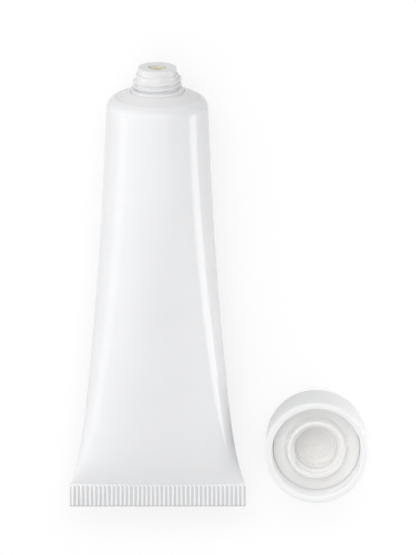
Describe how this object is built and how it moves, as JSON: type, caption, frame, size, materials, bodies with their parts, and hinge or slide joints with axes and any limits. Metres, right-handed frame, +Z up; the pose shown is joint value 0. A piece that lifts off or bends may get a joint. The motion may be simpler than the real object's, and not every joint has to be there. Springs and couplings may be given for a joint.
{
  "type": "squeeze tube",
  "caption": "Soft cosmetic squeeze tube with a ribbed flat crimp and a threaded neck, lying beside its wide screw cap.",
  "frame": {"origin": "on the floor, under the middle of the box around the lying tube and the cap beside it", "axes": "+Z up, +Y along the tube from its crimp towards its neck, +X from the tube towards the cap"},
  "size_m": [0.1028, 0.1574, 0.0362],
  "materials": {
    "sleeve": "glossy white soft polyethylene",
    "head": "satin-gloss white moulded polyethylene",
    "cap_shell": "glossy white moulded polypropylene",
    "cap_insert": "warm white moulded polypropylene"
  },
  "bodies": {
    "root": {"sleeve": "sleeve", "head": "head", "cap_shell": "cap_shell", "cap_insert": "cap_insert"}
  },
  "joints": []
}
